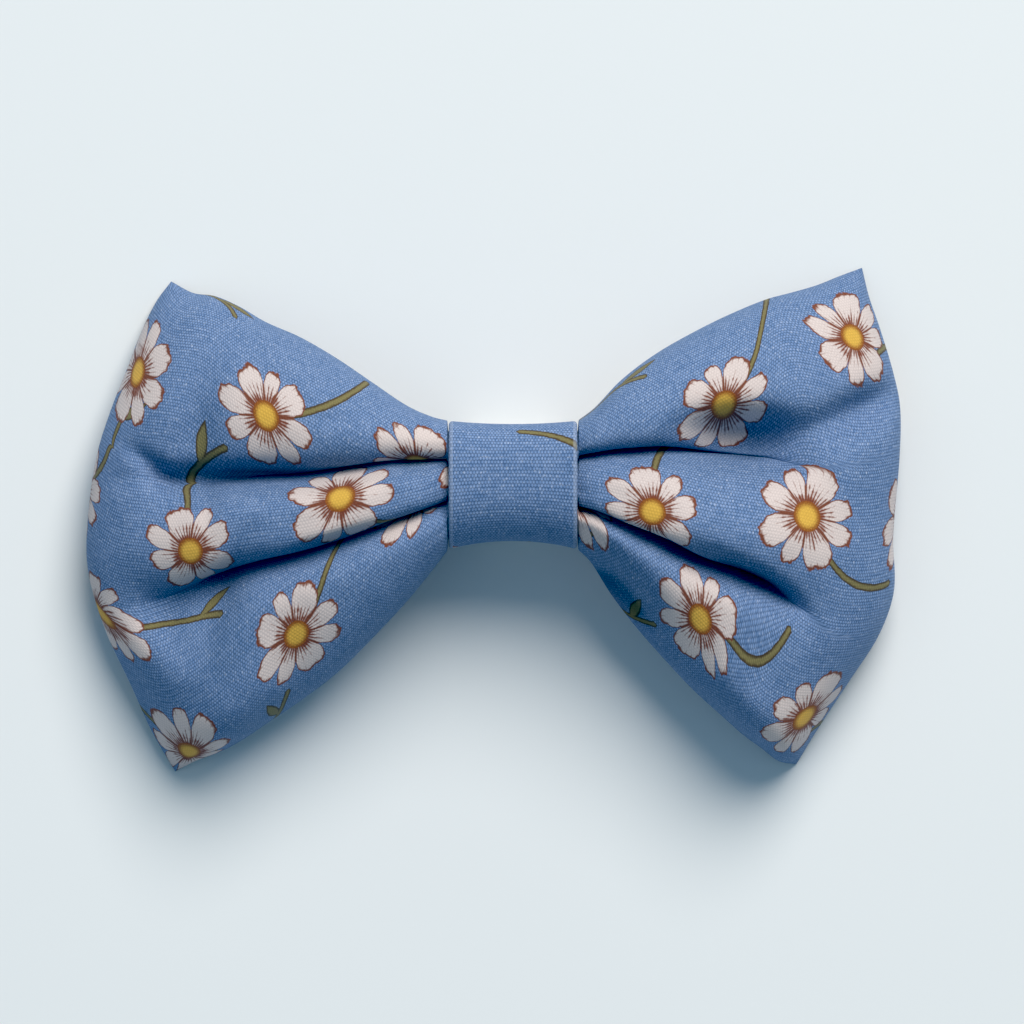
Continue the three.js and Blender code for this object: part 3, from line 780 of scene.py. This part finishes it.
def dentDepth(wing, x, y):
    depth = np.zeros_like(x)
    for row in wing["dents"]:
        centreX, centreY = wingPlan(wing, np.array(row["along"]), np.array(row["down"]))
        turn = math.radians(row["turn"])
        dx, dy = x - centreX, y - centreY
        lengthwise = (dx * math.cos(turn) + dy * math.sin(turn)) / (row["length"] * wing["topRun"])
        crosswise = (dy * math.cos(turn) - dx * math.sin(turn)) / (row["width"] * wing["topRun"])
        crosswise = np.where(crosswise > 0, crosswise / row["sharp"], crosswise)
        depth += bow["dentDepth"] * row["depth"] * np.exp(-lengthwise ** 2 - crosswise ** 2)
    return depth


def wingSheets(wing, at):
    # front and back of one wing as grids of points, stations by steps down the wing, and
    # the front without its dents
    section = {name: curveThrough(wing["sections"], "at", name, at)[:, None]
               for name in ("foldOne", "foldTwo", "depthOne", "depthTwo")}
    height = {name: curveThrough(wingHeights, "at", name, at)[:, None]
              for name in ("softness", "ridge", "rim", "hollow", "crown", "belly")}
    eased = easedSteps(bow["lobeSteps"], False)
    one, two = section["foldOne"], section["foldTwo"]
    down = np.hstack([one * eased, blend(one, two, eased), blend(two, 1, eased), np.ones_like(one)])
    at = at[:, None] * np.ones_like(down)
    x, y = wingPlan(wing, at, down)
    # the pillow swells from its rim, which lifts towards the middle of the wing's end
    boxy = np.where(down < 0.5, height["crown"], height["belly"])
    swellDown = np.sqrt(np.clip(1 - np.abs(2 * down - 1) ** boxy, 0, 1))
    swellAlong = np.sqrt(np.clip(1 - at ** blend(*wing["ends"], down), 0, 1))
    swell = swellDown * swellAlong
    rim = height["rim"] * coreMiddle + bow["endLift"] * at ** 3 * np.sin(math.pi * down)
    span = height["ridge"] * bow["crestTop"] - rim
    sunk, taken, tuck = frontFolds(wing, section, height["softness"], down)
    tuckedY = y + tuck * swell
    pleated = np.stack([x, tuckedY, rim + (span - taken) * swell], axis=2)
    # the cloth is never quite even, and it is gathered where it enters the band
    uneven = waves(x, y, *bow["wavesAlong"]) * waves(y, x, *bow["wavesDown"])
    fade = np.exp(-at * wing["topRun"] / bow["gatherRun"])
    gathers = np.cos(math.tau * bow["gatherCount"] * down) * fade
    sunk = sunk + (dentDepth(wing, x, y) + (bow["uneven"] * uneven + bow["gathers"] * gathers))
    # no fold or dent gets near the back
    past = (sunk - bow["sinkLimit"]) / bow["sinkEase"]
    sunk = np.where(past > 0, bow["sinkLimit"] + bow["sinkEase"] * np.tanh(past), sunk)
    front = np.stack([x, tuckedY, rim + (span - sunk) * swell], axis=2)
    # behind each lobe the back is pressed in a little
    lobe = np.where(down < one, down / one,
                    np.where(down < two, (down - one) / (two - one), (down - two) / (1 - two)))
    backDepth = bow["backFoldDepth"] * (section["depthOne"] + section["depthTwo"]) / 2
    backFold = backDepth * np.sin(math.pi * lobe) ** 2
    backZ = rim * (1 - height["hollow"] * swell) + backFold * swell
    back = np.stack([x, y, backZ], axis=2)
    return front, back, pleated


def bandEdges(x):
    # top and bottom of the band, drawn in towards its middle
    drawnIn = np.clip(1 - (2 * x / bandWidth) ** 2, 0, 1)
    return bandHeight / 2 - band["waistTop"] * drawnIn, -bandHeight / 2 + band["waistBottom"] * drawnIn


def coreSheets(leftSheets, rightSheets):
    # the pleats inside the band follow its waist
    sheets = []
    share = (np.arange(1, bow["coreSteps"]) / bow["coreSteps"])[:, None, None]
    inset = band["wall"] + bow["gap"]
    for left, right in zip(leftSheets, rightSheets):
        between = blend(left[-1][None], right[0][None], share)
        top, bottom = bandEdges(between[:, :, 0])
        down = (throat - between[:, :, 1]) / (2 * throat)
        between[:, :, 1] = blend(top - inset, bottom + inset, down)
        sheets.append(between)
    return sheets


def hiddenCloth(reach, depth, eased):
    # how much cloth one fold hides at each station, from its reach off the middle crest
    count = bow["wingSteps"]
    hidden = np.zeros(len(reach))
    for side, part in (("left", slice(count, None, -1)), ("right", slice(-count - 1, None))):
        depths = curveThrough(wings[side]["sections"], "at", depth, eased)
        inner = reach[part][:np.flatnonzero(depths > bow["hidesFrom"])[-1]]
        spent = inner.argmax()
        full = np.zeros(count + 1)
        full[:spent] = inner[spent] - inner[:spent]
        hidden[part] = full
    hidden[count:-count] = np.linspace(hidden[count], hidden[-count - 1], bow["coreSteps"] + 1)
    return hidden


def clothMaps(pleated, back, eased):
    # maps of the flat cloth, front and back, four corners for each face. Running lengths
    # go from the middle of the knot and from the middle crest.
    stations, steps = back.shape[:2]
    crest = steps // 2
    along = lengthAlong(pleated, 0)
    along = along - along[stations // 2][None]
    across = lengthAlong(pleated, 1)
    across = across[:, crest][:, None] - across
    # the folds hide cloth, so the print jumps there
    lobe = np.repeat([0, 1, 2], bow["lobeSteps"])
    hiddenOne = hiddenCloth(np.abs(across[:, 0]), "depthOne", eased)
    hiddenTwo = hiddenCloth(np.abs(across[:, -1]), "depthTwo", eased)
    atKnot = [hidden[stations // 2].round(1) for hidden in (hiddenOne, hiddenTwo)]
    print("cloth hidden in the folds at the knot:", *atKnot, "mm")
    jump = np.stack([hiddenOne, np.zeros(stations), -hiddenTwo], axis=1)[:, lobe]
    front = cells(np.stack([along, across], axis=2)).reshape(stations - 1, steps - 1, 4, 2)
    front[:, :, (0, 1), 1] += jump[:-1, :, None]
    front[:, :, (2, 3), 1] += jump[1:, :, None]
    # the print runs on round both edges to a seam along the middle of the back
    backRun = lengthAlong(back, 1)
    fromTop = (across[:, 0] + hiddenOne)[:, None] + backRun
    fromBottom = (across[:, -1] - hiddenTwo)[:, None] + backRun - backRun[:, -1:]
    halves = [cells(np.stack([along, edge], axis=2), (3, 2, 1, 0)).reshape(stations - 1, steps - 1, 4, 2)
              for edge in (fromTop, fromBottom)]
    upper = np.arange(steps - 1)[None, :, None, None] < crest
    return front.reshape(-1, 4, 2), np.where(upper, *halves).reshape(-1, 4, 2)


def makeBow():
    eased = easedSteps(bow["wingSteps"], True)
    left = [sheet[::-1] for sheet in wingSheets(wings["left"], eased)]
    right = wingSheets(wings["right"], eased)
    core = coreSheets(left, right)
    front, back, pleated = (np.vstack(sheets) for sheets in zip(left, core, right))
    # the back shares the points of the front's rim
    stations, steps = front.shape[:2]
    frontIndex = np.arange(stations * steps).reshape(stations, steps)
    backIndex = frontIndex.copy()
    inner = (slice(1, -1), slice(1, -1))
    ownPoints = (stations - 2, steps - 2)
    backIndex[inner] = stations * steps + np.arange(ownPoints[0] * ownPoints[1]).reshape(ownPoints)
    points = np.vstack([front.reshape(-1, 3), back[inner].reshape(-1, 3)])
    faces = np.vstack([cells(frontIndex), cells(backIndex, (3, 2, 1, 0))])
    piece = meshPiece("bow_cloth", points, faces, np.vstack(clothMaps(pleated, back, eased)))
    piece.data.materials.append(makePoplin("bowPoplin", bow["printShift"]))
    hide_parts("bow")
    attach(piece, "root")


makeBow()
print("bow made")


# Band and loop: closed strips that run round in the YZ plane

def stripProfile(width, wall, count, ribPitch=1.0, ribDepth=0.0, edgeSteps=9):
    # points (x, offset) round the strip's own section, offset from its middle layer, with
    # round edges and ribs that sink both faces
    radius = wall / 2
    half = width / 2 - radius
    x = np.linspace(-half, half, count)
    ribs = ribDepth / 2 * (np.cos(math.tau * x / ribPitch) - 1)
    turn = np.linspace(math.pi / 2, -math.pi / 2, edgeSteps)[1:-1]
    outer = list(zip(x, radius + ribs))
    right = [(half + radius * math.cos(a), radius * math.sin(a)) for a in turn]
    inner = list(zip(x[::-1], -radius - ribs[::-1]))
    left = [(-half - radius * math.cos(a), radius * math.sin(a)) for a in turn[::-1]]
    return outer + right + inner + left


def stripRing(name, profile, outline):
    # outline(x, offset) is the closed line that a point of the profile follows
    lines = []
    for x, offset in profile:
        y, z = outline(x, offset)
        lines.append(np.stack([np.full_like(y, x), y, z], axis=1))
    grid = np.array(lines)
    count, around = grid.shape[:2]
    index = np.arange(count * around).reshape(count, around)
    index = np.vstack([index, index[:1]])
    index = np.hstack([index, index[:, :1]])
    run = lengthAlong(np.concatenate([grid, grid[:, :1]], axis=1), 1).mean(axis=0)
    print(name, "runs round over", run[-1].round(1), "mm")
    acrossSteps = np.linalg.norm(np.diff(np.array(profile + profile[:1]), axis=0), axis=1)
    sideways = np.concatenate([[0], np.cumsum(acrossSteps)]) + profile[0][0]
    uv = np.stack(np.meshgrid(sideways, run, indexing="ij"), axis=2)
    return meshPiece(name, grid.reshape(-1, 3), cells(index), cells(uv))


def bandOutline(x, offset):
    # rounded box from the middle of its back, under it, up its front and over its top
    top, bottom = bandEdges(x)
    inset = band["wall"] / 2 - offset
    high, low = bandHigh[2] + band["overTop"] - inset, bandLow[2] + inset
    angle = (np.arange(band["steps"]) / band["steps"] - 0.25) * math.tau
    lean, rise = np.sin(angle), -np.cos(angle)
    power = 2 / np.where(rise < 0, band["lowerBoxy"], band["upperBoxy"])
    y = (top + bottom) / 2 + ((top - bottom) / 2 - inset) * np.sign(rise) * np.abs(rise) ** power
    z = (high + low) / 2 + (high - low) / 2 * np.sign(lean) * np.abs(lean) ** power
    return y, z


def makeBand():
    profile = stripProfile(bandWidth, band["wall"], band["widthSteps"])
    piece = stripRing("band_cloth", profile, bandOutline)
    foldEdge = bandWidth / 2 - band["wall"] / 2
    piece.data.materials.append(makePoplin("bandPoplin", band["printShift"], -math.pi / 2, foldEdge))
    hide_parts("knot_band")
    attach(piece, "root")


makeBand()
print("band made")

loop = {
    "wall": 1.0,
    "round": 2.6,
    "ribPitch": 0.75,
    "ribDepth": 0.10,
    "stitchPitch": 0.55,
    "stitchSlant": 0.22,
    "stitchHeight": 0.35,
    "ribHeight": 0.5,
    "fuzz": (4.0, 3.0, (1, 0.6, 0)),   # scale, detail and stretch
    "shadeRange": (-0.6, 1.2),
    "widthSteps": 89,
    "straightSteps": 24,
    "cornerSteps": 12,
    # painted shade: the white elastic is grey between its ribs and stitches
    "shadeBetweenRibs": (0.46, 0.46, 0.45),
    "onRibs": (0.86, 0.86, 0.84),
    "roughness": 0.8,
    "sheen": 0.2,
    "reliefStrength": 0.6,
    "reliefDepth": 0.08,
}
loopLow, loopHigh = (np.array(corner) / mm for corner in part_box("collar_loop"))


def loopOutline(x, offset):
    # rounded oblong from the lower end of its front, up and round by the back
    inset = loop["wall"] / 2 - offset
    top, bottom = loopHigh[1] - inset, loopLow[1] + inset
    front, back = loopHigh[2] - inset, loopLow[2] + inset
    radius = loop["round"] - inset
    share = np.arange(loop["straightSteps"]) / loop["straightSteps"]
    quarter = np.arange(loop["cornerSteps"]) / loop["cornerSteps"] * math.pi / 2
    leave, arrive = radius * np.sin(quarter), radius * np.cos(quarter)
    middle = (top + bottom) / 2
    half = (top - bottom) / 2 - radius
    level = np.ones_like(share)
    y = [middle - half + 2 * half * share, top - radius + leave,
         top * level, top - radius + arrive,
         middle + half - 2 * half * share, bottom + radius - leave,
         bottom * level, bottom + radius - arrive]
    z = [front * level, front - radius + arrive,
         blend(front - radius, back + radius, share), back + radius - leave,
         back * level, back + radius - arrive,
         blend(back + radius, front - radius, share), front - radius + leave]
    return np.concatenate(y), np.concatenate(z)


def makeElastic():
    # knitted elastic: ribs that run round the loop, each a row of small slanted stitches
    material = bpy.data.materials.new("ribbedElastic")
    material.use_nodes = True
    tree = material.node_tree
    shader = tree.nodes["Principled BSDF"]
    source = tree.nodes.new("ShaderNodeUVMap")
    source.uv_map = "flatCloth"
    x, y, _ = parts(tree, source.outputs["UV"])
    rib = calc(tree, "COSINE", calc(tree, "MULTIPLY", x, math.tau / loop["ribPitch"]))
    slant = calc(tree, "MULTIPLY_ADD", calc(tree, "ABSOLUTE", rib), loop["stitchSlant"], y)
    stitch = calc(tree, "COSINE", calc(tree, "MULTIPLY", slant, math.tau / loop["stitchPitch"]))
    knit = calc(tree, "MULTIPLY", rib, loop["ribHeight"])
    knit = calc(tree, "MULTIPLY_ADD", stitch, loop["stitchHeight"], knit)
    fuzz = noise(tree, source.outputs["UV"], *loop["fuzz"])
    # painted shade between the ribs and stitches, mixed with random fuzz
    shade = ramp(tree, calc(tree, "ADD", knit, fuzz), *loop["shadeRange"])
    colour = mixed(tree, shade, opaque(loop["shadeBetweenRibs"]), opaque(loop["onRibs"]))
    feed(tree, shader.inputs["Base Color"], colour)
    shader.inputs["Roughness"].default_value = loop["roughness"]
    shader.inputs["Sheen Weight"].default_value = loop["sheen"]
    relief = tree.nodes.new("ShaderNodeBump")
    relief.inputs["Strength"].default_value = loop["reliefStrength"]
    relief.inputs["Distance"].default_value = loop["reliefDepth"] * mm
    feed(tree, relief.inputs["Height"], knit)
    feed(tree, shader.inputs["Normal"], relief.outputs["Normal"])
    return material


def makeLoop():
    width = loopHigh[0] - loopLow[0]
    profile = stripProfile(width, loop["wall"], loop["widthSteps"], loop["ribPitch"], loop["ribDepth"])
    piece = stripRing("loop_elastic", profile, loopOutline)
    piece.data.materials.append(makeElastic())
    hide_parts("collar_loop")
    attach(piece, "root")


makeLoop()
print("loop made")
